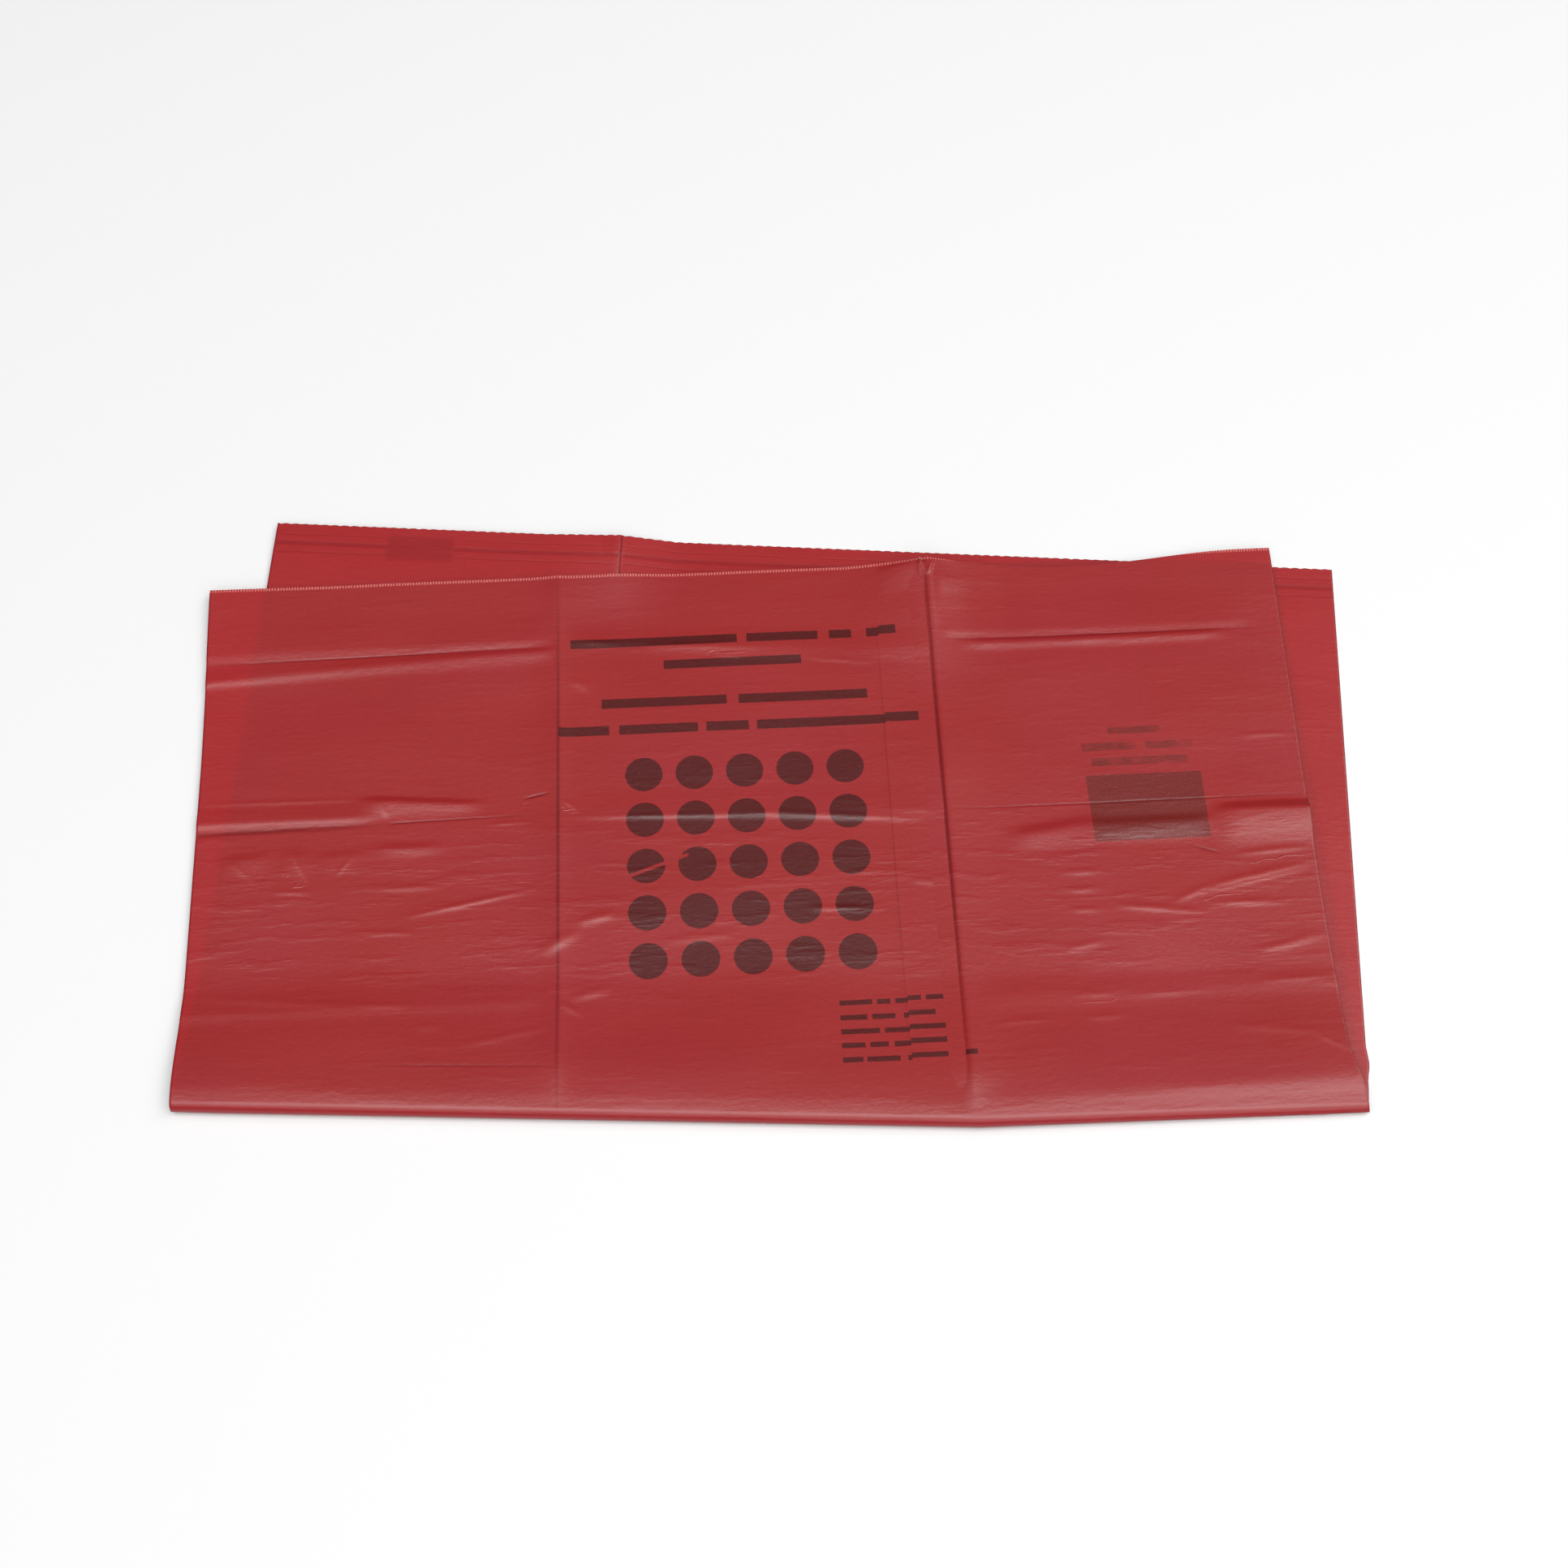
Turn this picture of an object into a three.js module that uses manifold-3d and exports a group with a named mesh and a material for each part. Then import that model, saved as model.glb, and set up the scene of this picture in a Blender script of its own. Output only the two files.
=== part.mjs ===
// An empty film bag for clinical waste, as it lies on a table: a blown tube of red film, pressed flat,
// welded across one end and open at the other, folded once across the middle.
// The printed half with the mouth lies on top, and the half with the welded end lies under it.
// Both halves keep the shallow folds that packing left in them: two down the length and one every
// hand's width across. Millimetres, +X along the fold, +Y from the fold to the mouth, +Z up.
import * as THREE from "three";
import { mergeVertices } from "three/addons/utils/BufferGeometryUtils.js";
import Module from "manifold-3d";

const wasm = await Module();
wasm.setup();

// The bag laid flat and open.
const bagWidth = 608;
const bagLength = 671;
const filmThickness = 0.05;
const plyGap = 0.5; // air between the two plies of the tube
const edgeGap = 0.1; // what is left of that air at the pressed side edges
const edgeEase = 24; // how far in from a side edge the plies part
const weldBand = 4;
const weldSkirt = 10; // loose film past the weld

// The fold across the bag. It runs askew, so the two halves spread like scissors.
const foldShift = 9; // how much nearer to the mouth it lies than the middle of the length
const foldSkew = 30; // how much further from the mouth it is at the right edge than at the left
const foldRadius = 4.6; // to the middle of the two plies
const foldEase = 75; // how far past the fold the upper half comes down to its rest
const restHeight = 3.2; // upper half above lower half
const foldBow = 8; // how far the ridge crease pushes the fold out

// The creases that packing left.
const sidePanel = 198; // side edge to lengthwise crease
const lengthRidge = { height: 1.6, reach: 16 };
const mouthPeak = { height: 7, reach: 44, depth: 48 }; // where the ridge crease meets the mouth
const firstCross = 48; // mouth to the first crosswise crease
const crossPitch = 107;
const crossRidge = { height: 1.8, reach: 13 };
const endPeak = { height: 5.5, reach: 34, depth: 62 }; // where the other crease meets the welded end
const cornerLift = { height: 1.5, reach: 70 };
const endLift = { height: 3, depth: 120 }; // the panel beside the end's peak
const mouthDip = { depth: 6, reach: 100 }; // the mouth's edge is drawn in on the right panel

// How finely the film is divided.
const widestStep = 52;
const arcSteps = 10;

const valleyCrease = sidePanel;
const ridgeCrease = bagWidth - sidePanel;
const mouthToFoldLeft = bagLength / 2 - foldShift - foldSkew / 2;
const mouthToFoldRight = mouthToFoldLeft + foldSkew;
const skew = Math.atan(foldSkew / bagWidth);
const quarterArc = (Math.PI / 2) * foldRadius;
const weldStart = bagLength - weldSkirt - weldBand;

// 1 on the line, falling straight to 0 at reach.
const tent = (distance, reach) => Math.max(0, 1 - Math.abs(distance) / reach);
// 0 to 1 with soft ends.
const ease = (share) => THREE.MathUtils.smoothstep(share, 0, 1);

// A point of the flat bag, across it and down from the mouth, measured from the fold line:
// along the line, and out from it, positive towards the mouth.
function fromFold(across, down) {
  const past = down - mouthToFoldLeft;
  return {
    along: across * Math.cos(skew) + past * Math.sin(skew),
    out: across * Math.sin(skew) - past * Math.cos(skew),
  };
}

function toFlat(along, out) {
  return {
    across: along * Math.cos(skew) + out * Math.sin(skew),
    down: mouthToFoldLeft + along * Math.sin(skew) - out * Math.cos(skew),
  };
}

// The fold's section: where the middle of the two plies runs, and which way the printed ply faces.
function section(out) {
  const run = Math.abs(out) - quarterArc;
  if (run <= 0) {
    const turn = out / foldRadius;
    return {
      y: foldRadius * (1 - Math.cos(turn)),
      z: foldRadius * (1 + Math.sin(turn)),
      faceY: -Math.cos(turn),
      faceZ: Math.sin(turn),
    };
  }
  const drop = (2 * foldRadius - restHeight) * ease(run / foldEase);
  return {
    y: foldRadius + run,
    z: out > 0 ? 2 * foldRadius - drop : 0,
    faceY: 0,
    faceZ: Math.sign(out),
  };
}

// How far the lower half stands off the table beyond lying flat.
function lowerRelief(across, down) {
  const toEnd = bagLength - down;
  const peak = tent(across - valleyCrease, endPeak.reach) * ease(1 - toEnd / endPeak.depth);
  const beside = ease((valleyCrease - across) / endPeak.reach) * ease(1 - toEnd / endLift.depth);
  return endPeak.height * peak + endLift.height * beside;
}

// How far the upper half stands above its rest, without what it lies on.
function upperRelief(across, down) {
  const lines = [valleyCrease, ridgeCrease].map((at) => tent(across - at, lengthRidge.reach));
  const nearest = Math.round((down - firstCross) / crossPitch) * crossPitch + firstCross;
  const cross = tent(down - Math.max(nearest, firstCross), crossRidge.reach);
  const peak = tent(across - ridgeCrease, mouthPeak.reach) * ease(1 - down / mouthPeak.depth);
  const toSide = Math.min(across, bagWidth - across);
  const corner = tent(toSide, cornerLift.reach) * tent(down, cornerLift.reach);
  return (
    lengthRidge.height * Math.max(...lines) +
    crossRidge.height * cross +
    mouthPeak.height * peak +
    cornerLift.height * corner
  );
}

// The middle of the two plies, folded.
function middle(across, down) {
  const { along, out } = fromFold(across, down);
  const at = section(out);
  const away = Math.abs(out) - quarterArc;
  if (out < 0) at.z += lowerRelief(across, down);
  if (out > 0 && away > 0) {
    const under = toFlat(along, -out);
    const clear = ease(away / (foldEase / 3));
    at.z += clear * upperRelief(across, down) + lowerRelief(under.across, under.down);
  }
  const bow = foldBow * Math.min(across / ridgeCrease, (bagWidth - across) / sidePanel);
  const y = at.y - bow * (1 - ease(away / foldEase));
  return { x: along, y, z: at.z, faceY: at.faceY, faceZ: at.faceZ };
}

// Half the air between the plies.
function halfGap(across, down) {
  const toSide = Math.min(across, bagWidth - across);
  const open = Math.min(ease(toSide / edgeEase), ease((weldStart - down) / edgeEase));
  return (edgeGap + (plyGap - edgeGap) * open) / 2;
}

// Half of the whole bag's thickness. Over the weld's width the air runs out, and past it the two
// plies lie on each other.
function halfOutside(across, down) {
  const left = 1 - ease((down - weldStart) / weldBand);
  return filmThickness + left * halfGap(across, down);
}

// Stations from start to end through the given ones, with no step wider than the widest.
function stations(start, end, through) {
  const inside = through.filter((at) => at > start && at < end).sort((a, b) => a - b);
  const keys = [start, ...inside, end].filter((at, i, all) => i === 0 || at - all[i - 1] > 0.5);
  keys[keys.length - 1] = end;
  return keys.flatMap((at, i) => {
    if (i === 0) return [at];
    const steps = Math.ceil((at - keys[i - 1]) / widestStep);
    return Array.from({ length: steps }, (_, k) => keys[i - 1] + ((at - keys[i - 1]) * (k + 1)) / steps);
  });
}

const acrossKeys = [edgeEase, bagWidth - edgeEase, cornerLift.reach, bagWidth - cornerLift.reach];
for (const [crease, reaches] of [
  [valleyCrease, [lengthRidge.reach, endPeak.reach]],
  [ridgeCrease, [lengthRidge.reach, mouthPeak.reach]],
]) {
  acrossKeys.push(crease, ...reaches.flatMap((reach) => [crease - reach, crease + reach]));
}

// The rows are laid out from the fold, so that each runs parallel to it round the bend.
const outKeys = [];
for (let k = 0; k <= arcSteps; k++) outKeys.push(quarterArc * ((2 * k) / arcSteps - 1));
for (const share of [0.2, 0.45, 0.7, 1]) {
  outKeys.push(quarterArc + foldEase * share, -quarterArc - foldEase * share);
}

// How far the mouth's edge is drawn in.
function drawnIn(across) {
  return mouthDip.depth * ease(tent(across - (ridgeCrease + bagWidth) / 2, mouthDip.reach));
}

// A slab of film folded into place. Its rows run from down to down along the bag; between the two,
// rows near the fold swing round to lie parallel with it.
function foldedSlab(inset, fromDown, toDown, half) {
  const columns = stations(inset, bagWidth - inset, acrossKeys);
  const crossKeys = [mouthPeak.depth / 2, mouthPeak.depth, bagLength - endPeak.depth];
  for (let at = firstCross; at < mouthToFoldLeft - foldEase / 2; at += crossPitch) {
    crossKeys.push(at - crossRidge.reach, at, at + crossRidge.reach);
  }
  const upperEnd = mouthToFoldLeft - quarterArc - foldEase / 3;
  const lowerStart = mouthToFoldRight + quarterArc + foldEase;
  const weldKeys = [weldStart - edgeEase, weldStart, weldStart + weldBand];
  const upper = stations(fromDown, upperEnd, crossKeys);
  const lower = stations(lowerStart, toDown, [...crossKeys, ...weldKeys]);
  const bend = outKeys.filter((out) => out < foldEase / 3 + quarterArc && out > -quarterArc - foldEase);
  bend.sort((a, b) => b - a);
  const downAt = (across, row) => {
    if (row < upper.length) return upper[row] + drawnIn(across) * (1 - upper[row] / upperEnd);
    if (row < upper.length + bend.length) {
      const out = bend[row - upper.length];
      return mouthToFoldLeft + (across * Math.sin(skew) - out) / Math.cos(skew);
    }
    return lower[row - upper.length - bend.length];
  };
  const rows = upper.length + bend.length + lower.length;

  const slab = new THREE.BoxGeometry(1, 1, 1, columns.length - 1, rows - 1, 1);
  const points = slab.getAttribute("position");
  for (let i = 0; i < points.count; i++) {
    const across = columns[Math.round((points.getX(i) + 0.5) * (columns.length - 1))];
    const down = downAt(across, Math.round((0.5 - points.getY(i)) * (rows - 1)));
    const at = middle(across, down);
    const side = Math.sign(points.getZ(i)) * half(across, down);
    points.setXYZ(i, at.x, at.y + side * at.faceY, at.z + side * at.faceZ);
  }
  return slab;
}

function solid(geometry) {
  const bare = geometry.clone();
  bare.deleteAttribute("normal");
  bare.deleteAttribute("uv");
  const merged = mergeVertices(bare, 1e-4);
  return new wasm.Manifold(
    new wasm.Mesh({
      numProp: 3,
      vertProperties: new Float32Array(merged.getAttribute("position").array),
      triVerts: new Uint32Array(merged.index.array),
    }),
  );
}

function geometryOf(made) {
  const mesh = made.getMesh();
  const geometry = new THREE.BufferGeometry();
  geometry.setAttribute("position", new THREE.BufferAttribute(mesh.vertProperties, 3));
  geometry.setIndex(new THREE.BufferAttribute(mesh.triVerts, 1));
  geometry.computeVertexNormals();
  return geometry;
}

const redFilm = new THREE.MeshStandardMaterial({ color: 0xa83236, roughness: 0.38, metalness: 0 });

function makeBag() {
  const mouthCut = 4; // the inside runs on past the mouth, so that the cut opens it
  const outside = solid(foldedSlab(0, 0, bagLength, halfOutside));
  const inside = solid(foldedSlab(filmThickness, -mouthCut, weldStart, halfGap));
  const bag = new THREE.Mesh(geometryOf(outside.subtract(inside)), redFilm);
  bag.name = "bag";
  bag.geometry.computeBoundingBox();
  const { min, max } = bag.geometry.boundingBox;
  bag.position.set(-(min.x + max.x) / 2, -(min.y + max.y) / 2, -min.z);
  return bag;
}

const wasteBag = new THREE.Group();
wasteBag.add(makeBag());

export default wasteBag;
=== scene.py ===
import math

import bpy
import numpy as np
from mathutils import Euler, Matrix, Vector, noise


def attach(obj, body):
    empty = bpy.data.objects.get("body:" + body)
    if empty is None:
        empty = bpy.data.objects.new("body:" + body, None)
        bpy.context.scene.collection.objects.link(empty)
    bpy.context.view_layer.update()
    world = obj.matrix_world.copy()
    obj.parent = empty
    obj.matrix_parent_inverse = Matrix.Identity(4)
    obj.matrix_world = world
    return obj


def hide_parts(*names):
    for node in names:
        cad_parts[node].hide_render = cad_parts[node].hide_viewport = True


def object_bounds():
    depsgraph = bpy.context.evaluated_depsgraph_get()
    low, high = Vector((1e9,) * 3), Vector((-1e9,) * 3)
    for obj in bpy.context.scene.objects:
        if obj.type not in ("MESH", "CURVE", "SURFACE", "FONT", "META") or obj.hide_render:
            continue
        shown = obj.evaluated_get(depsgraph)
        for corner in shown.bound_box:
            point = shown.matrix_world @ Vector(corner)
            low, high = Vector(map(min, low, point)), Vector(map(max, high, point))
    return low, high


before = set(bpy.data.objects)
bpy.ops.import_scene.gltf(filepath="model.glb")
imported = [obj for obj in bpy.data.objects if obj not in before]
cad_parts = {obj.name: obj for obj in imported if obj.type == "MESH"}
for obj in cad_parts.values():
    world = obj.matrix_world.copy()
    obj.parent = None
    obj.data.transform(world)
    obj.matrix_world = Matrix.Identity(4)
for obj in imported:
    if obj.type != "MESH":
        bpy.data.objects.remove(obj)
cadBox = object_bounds()
mm = 0.001

# The bag, in millimetres. Places on it are measured while it lies flat and open:
# across from its left edge, and down from its mouth.
bag = {
    "width": 608,
    "length": 671,
    "film": 0.05,
    "plyGap": 0.5,  # air between the two plies
    "edgeGap": 0.1,  # what is left of that air at the pressed side edges
    "edgeEase": 24,  # how far in from a side edge the plies part
    "edgeRound": 0.4,  # how far in from a side edge the film turns round it
    "weldShare": 0.2,  # of the film's thickness, left between the plies in the weld
    "weldSkirt": 10,  # loose film past the weld
    "weldBand": 4,
    "foldShift": 9,  # how much nearer the mouth the fold is than the middle of the length
    "foldSkew": 30,  # how much lower the fold is at the right edge than at the left
    "foldRadius": 4.6,
    "foldEase": 75,  # how far past the fold the upper half comes down to its rest
    "foldBow": 8,  # how far the right crease pushes the fold out
    "rest": 3.2,  # upper half above lower half
    "sidePanel": 198,  # side edge to lengthwise crease
    "leftShift": 1,  # how much further left the two creases lie than that
    "rightShift": 2.5,
}

leftCrease = bag["sidePanel"] - bag["leftShift"]
rightCrease = bag["width"] - bag["sidePanel"] - bag["rightShift"]
foldLeft = bag["length"] / 2 - bag["foldShift"] - bag["foldSkew"] / 2
skew = math.atan(bag["foldSkew"] / bag["width"])
quarterArc = math.pi / 2 * bag["foldRadius"]
weldStart = bag["length"] - bag["weldSkirt"] - bag["weldBand"]

# What packing and handling left in the film. Heights stand up from the half that they are on.
relief = {
    "leftRidge": {"height": 1.2, "left": 14, "right": 7},
    "rightRidge": {"height": 2.0, "left": 7, "right": 22},
    "ridgePinch": 1.3,  # at 1 a ridge's flanks are straight, and over 1 they are hollow
    "mouthPeak": {"height": 6, "reach": 44, "depth": 80},
    "cornerLift": {"height": 1.5, "reach": 70},
    "mouthDip": {"depth": 6, "reach": 100, "beside": 82},
    "endPeak": {"height": 5.5, "reach": 34, "depth": 62},
    "endLift": {"height": 3, "depth": 120},
    "endScallop": {"pitch": 5.7, "depth": 0.6, "cuts": 7},
    "sag": {"height": 0.5, "size": 70, "ratio": 1.8, "slice": 3.7},
    # the film dips a little before it turns over the fold, and more at the right end
    "brow": {"drop": 0.3, "reach": 7, "moreDrop": 1.9, "moreReach": 9},
    # the creases draw the side edges in, at the right also a share of that round the fold
    "gatherRight": {"mouth": 2.8, "by": 6.2, "full": 250, "reach": 190},
    "gatherRound": {"share": 0.25, "under": 20, "start": 8, "out": 34},
    "gatherLeft": {"by": 1.8, "reach": 80, "full": 120, "to": 300, "fade": 60},
    "roll": {"by": 1.2, "down": 371, "half": 9, "reach": 18},  # a loose roll at the fold's right end
    "pleat": {"across": 377, "height": 0.14, "width": 1.4, "from": 28, "to": 300, "fade": 20},
    "fineStart": 8,  # how far from the fold the wrinkles have their full height
    "fineShare": 0.65,  # how much of a wrinkle's height the material adds
}

# Long low swellings beside the crosswise creases. Each runs between two lines across the bag, and fades
# at its two ends. Its crest lies at a share of the way from the upper line to the lower one.
swellings = [
    # from, to, upper line, lower line, crest, height (each at its two ends), then the fades
    (0, 192, (18, 22), (48.5, 45.5), (0.8, 0.8), (0.5, 0.6), (0, 4)),
    (0, 196, (49, 46), (63.5, 56), (0.72, 0.12), (0.8, 0.85), (0, 6)),
    (0, 100, (136, 136), (150.5, 150), (0.8, 0.8), (0.8, 0.7), (0, 12)),
    (88, 158, (134, 140), (149.5, 148), (0.15, 0.15), (1.6, 0.9), (10, 12)),
    (14, 44, (166, 163), (183, 180), (0.3, 0.3), (0.7, 0.7), (8, 8)),
    (48, 62, (161, 166), (179, 183), (0.3, 0.3), (0.8, 0.8), (5, 4)),
    (66, 96, (166, 165), (182, 180), (0.25, 0.25), (0.5, 0.5), (8, 8)),
    (96, 138, (162, 164), (175, 172), (0.3, 0.3), (0.7, 0.6), (10, 12)),
    (412, 592, (22, 24), (51.5, 51.5), (0.84, 0.84), (0.55, 0.55), (6, 10)),
    (424, 500, (52, 52), (60, 60), (0.25, 0.25), (0.8, 1.0), (8, 8)),
    (490, 580, (52, 52), (60, 59), (0.25, 0.25), (1.0, 0.8), (8, 16)),
    (552, 608, (160, 161), (189, 187), (0.2, 0.2), (2.2, 2.9), (16, 0)),
    (437, 490, (171, 163), (188, 184), (0.3, 0.3), (1.3, 1.1), (14, 8)),
    (482, 556, (166, 166), (184, 183), (0.3, 0.3), (1.1, 1.2), (10, 10)),
    (200, 404, (134, 140), (153, 163), (0.75, 0.75), (0.35, 0.5), (30, 14)),
    (200, 404, (32, 42), (50, 66), (0.6, 0.6), (0.45, 0.45), (8, 8)),
    (376, 405, (2, -3), (26, 18), (0.2, 0.2), (0.5, 1.8), (10, 1)),
    (411, 428, (2, 10), (42, 36), (0.3, 0.3), (0.6, 0.4), (2, 6)),
    (0, 197, (242, 248), (264, 262), (0.7, 0.7), (0.5, 0.3), (0, 20)),
    (412, 608, (255, 258), (275, 272), (0.6, 0.6), (0.4, 0.5), (20, 0)),
]

# Wrinkles: middle across and down, length, half width, turn in degrees, height.
wrinkles = [
    (46, 135.6, 104, 1.27, 0.5, 0.28),
    (102, 142.5, 12, 1.87, 62, 0.42),
    (149, 200.5, 72, 1.53, -11, 0.49),
    (106, 215.6, 26, 1.27, 4, 0.21),
    (54, 189.5, 24, 1.53, 3, 0.28),
    (117, 190, 40, 1.53, 0, 0.28),
    (165, 183.5, 42, 1.27, 1, 0.17),
    (169, 154.2, 20, 1.1, -2, 0.24),
    (57, 174, 24, 1.7, 60, 0.35),
    (82, 176, 16, 1.53, -50, 0.24),
    (26, 176, 20, 1.7, 40, 0.24),
    (104, 256.5, 34, 1.53, 3, 0.21),
    (45, 252, 96, 2.04, 6, 0.17),
    (170, 276, 48, 1.7, -10, 0.24),
    (128, 269.5, 16, 1.87, 2, 0.21),
    (197, 225.5, 24, 3.06, -32, 0.7),
    (209, 70.5, 14, 2.55, 35, 0.42),
    (203.5, 145, 10, 1.36, 42, 0.35),
    (216, 212.5, 24, 2.38, -14, 0.56),
    (213, 255, 22, 2.21, -12, 0.49),
    (203, 263, 14, 1.7, 30, 0.35),
    (258, 153.6, 120, 1.61, 1.5, 0.35),
    (347, 158, 104, 2.04, 5, 0.49),
    (279, 49, 70, 2.04, 4, 0.32),
    (220, 43.5, 22, 1.7, 6, 0.24),
    (292, 55.4, 18, 1.27, 4, 0.21),
    (355, 61.5, 40, 1.53, 8, 0.21),
    (345, 212.6, 36, 1.7, 2, 0.39),
    (270, 226, 46, 2.21, -6, 0.21),
    (392, 199.5, 12, 1.7, 8, 0.35),
    (405, 5.5, 13, 0.9, 75, 0.75),
    (409.6, 6, 12, 0.9, 110, 0.75),
    (589, 120, 34, 1.44, 0, 0.28),
    (585, 190.5, 44, 1.53, -4, 0.35),
    (537, 213.8, 22, 1.87, -22, 0.49),
    (573, 205, 66, 2.04, -11, 0.66),
    (573, 208, 60, 1.19, -11, 0.28),
    (515, 221, 46, 1.87, 7, 0.49),
    (563, 220, 40, 1.44, 0, 0.32),
    (477, 198.2, 22, 1.7, 1, 0.35),
    (477, 208.6, 20, 1.53, 0, 0.28),
    (477, 220.2, 20, 1.53, 2, 0.28),
    (475, 240.4, 22, 1.87, -10, 0.35),
    (588, 244.4, 42, 2.38, -12, 0.49),
    (586, 265, 42, 1.44, -2, 0.28),
    (520, 269, 44, 1.36, 0, 0.21),
    (478, 268, 24, 1.36, 0, 0.21),
    (436, 279.6, 26, 1.36, 0, 0.21),
    (480, 280, 24, 1.53, 0, 0.28),
    (576, 293, 60, 2.21, 8, 0.24),
    (599, 301, 20, 1.7, 32, 0.35),
]

# Sharp creases: the same five, then how dark their painted shade is.
creases = [
    (95, 46.9, 204, 0.8, -0.85, 0.6),
    (40, 152.6, 130, 1.5, -1.0, 0.75),
    (110, 151, 160, 0.7, -1.2, 0.6),
    (184.5, 138.3, 12, 0.8, -11, 1.0),
    (502, 51.6, 196, 0.8, 0, 0.6),
    (508, 157.4, 214, 0.7, 0, 0.55),
    (148, 290.6, 110, 0.8, 2.2, 0.35),
    (548, 188, 18, 0.9, 18, 0.5),
]
longCreases = [
    (196.4, 160, 350, 1.0, 90.3, 0.95),
    (376.4, 165, 300, 0.5, 90, 0.4),
    (405.6, 150, 330, 1.3, 90.2, 0.9),
]


def deselectAll():
    if bpy.context.object and bpy.context.object.mode != "OBJECT":
        bpy.ops.object.mode_set(mode="OBJECT")
    bpy.ops.object.select_all(action="DESELECT")


def tent(distance, reach):
    return np.clip(1 - np.abs(distance) / reach, 0, 1)


def ease(share):
    t = np.clip(share, 0, 1)
    return t * t * (3 - 2 * t)


# The fold. A place on the bag, as measured along the fold line and out from it towards the mouth.
def fromFold(across, down):
    past = down - foldLeft
    along = across * math.cos(skew) + past * math.sin(skew)
    out = across * math.sin(skew) - past * math.cos(skew)
    return along, out


def toFlat(along, out):
    across = along * math.cos(skew) + out * math.sin(skew)
    down = foldLeft + along * math.sin(skew) - out * math.cos(skew)
    return across, down


# The fold seen from its end: where the film's middle runs, and which way the printed ply faces.
def foldSection(out):
    radius = bag["foldRadius"]
    run = np.abs(out) - quarterArc
    turn = np.clip(out, -quarterArc, quarterArc) / radius
    drop = (2 * radius - bag["rest"]) * ease(run / bag["foldEase"])
    flatHeight = np.where(out > 0, 2 * radius - drop, 0)
    bent = run <= 0
    y = np.where(bent, radius * (1 - np.cos(turn)), radius + run)
    z = np.where(bent, radius * (1 + np.sin(turn)), flatHeight)
    faceY = np.where(bent, -np.cos(turn), 0)
    faceZ = np.where(bent, np.sin(turn), np.sign(out))
    return y, z, faceY, faceZ


def lowerRelief(across, down):
    peak, lift = relief["endPeak"], relief["endLift"]
    toEnd = bag["length"] - down
    crest = tent(across - leftCrease, peak["reach"]) * ease(1 - toEnd / peak["depth"])
    beside = ease((leftCrease - across) / peak["reach"]) * ease(1 - toEnd / lift["depth"])
    return peak["height"] * crest + lift["height"] * beside


def ridgeAlong(across, at, ridge):
    reach = np.where(across < at, ridge["left"], ridge["right"])
    return ridge["height"] * tent(across - at, reach) ** relief["ridgePinch"]


# 0 to 1 over the fade, or all at once where there is none.
def fadeIn(run, fade):
    return ease(run / fade) if fade else 1.0 * (run >= 0)


def swelling(across, down, spec):
    start, end, *ends, fades = spec
    share = np.clip((across - start) / (end - start), 0, 1)
    top, bottom, crest, height = (first + (last - first) * share for first, last in ends)
    t = (down - top) / (bottom - top)
    rise = np.clip(np.where(t < crest, t / crest, (1 - t) / (1 - crest)), 0, 1)
    rise = (rise + ease(rise)) / 2
    fade = fadeIn(across - start, fades[0]) * fadeIn(end - across, fades[1])
    return height * rise * fade


# A place as seen from a wrinkle: shares of its half length along it and of its half width aside.
def fromWrinkle(across, down, spec):
    middleAcross, middleDown, length, half, turn, _ = spec
    cosine, sine = math.cos(math.radians(turn)), math.sin(math.radians(turn))
    along = ((across - middleAcross) * cosine + (down - middleDown) * sine) / (length / 2)
    aside = ((down - middleDown) * cosine - (across - middleAcross) * sine) / half
    return along, aside


def wrinkle(across, down, spec):
    along, aside = fromWrinkle(across, down, spec)
    return spec[-1] * np.clip(1 - along**2, 0, 1) * np.exp(-(aside**2))


# What the material needs to draw the wrinkles finer than the mesh is: how far aside of the nearest
# one each place lies, and how high that one is there.
marking = {
    "none": 9.0,  # half widths aside, where no wrinkle is near
    "farthest": 99.0,  # half widths aside that a wrinkle can count as near
    "reach": 3.2,  # half widths aside that a wrinkle has a height
    "rows": 3.6,  # millimetres that it has one at least, which takes in the next rows of the mesh
    "pastEnd": 8,  # millimetres past its end that places still go by it
    "endCost": 4,  # half widths that such places count further from it
}


def nearestWrinkle(across, down, side, specs):
    nearest, height = np.full(across.shape, marking["none"]), np.zeros(across.shape)
    away = np.full(across.shape, marking["farthest"])
    for spec in specs:
        along, aside = fromWrinkle(across, down, spec)
        reach = max(marking["reach"], marking["rows"] / spec[3])
        pastEnd = (np.abs(along) - 1) * spec[2] / 2
        thisFar = np.abs(aside) + np.where(pastEnd > 0, marking["endCost"], 0)
        closer = (pastEnd < marking["pastEnd"]) & (thisFar < away) & (side > 0)
        away = np.where(closer, thisFar, away)
        nearest = np.where(closer, aside, nearest)
        rise = spec[-1] * np.clip(1 - along**2, 0, 1) * (np.abs(aside) < reach)
        height = np.where(closer, rise, height)
    return np.stack([nearest, height, 0 * height], axis=-1)


# What both plies of the upper half do together.
def upperRelief(across, down):
    peak, corner = relief["mouthPeak"], relief["cornerLift"]
    height = np.maximum(
        ridgeAlong(across, leftCrease, relief["leftRidge"]),
        ridgeAlong(across, rightCrease, relief["rightRidge"]),
    )
    crest = tent(across - rightCrease, peak["reach"]) * ease(1 - down / peak["depth"])
    height = height + peak["height"] * crest
    toSide = np.minimum(across, bag["width"] - across)
    height = height + corner["height"] * tent(toSide, corner["reach"]) * tent(down, corner["reach"])
    for spec in swellings:
        height = height + swelling(across, down, spec)
    return height


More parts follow.
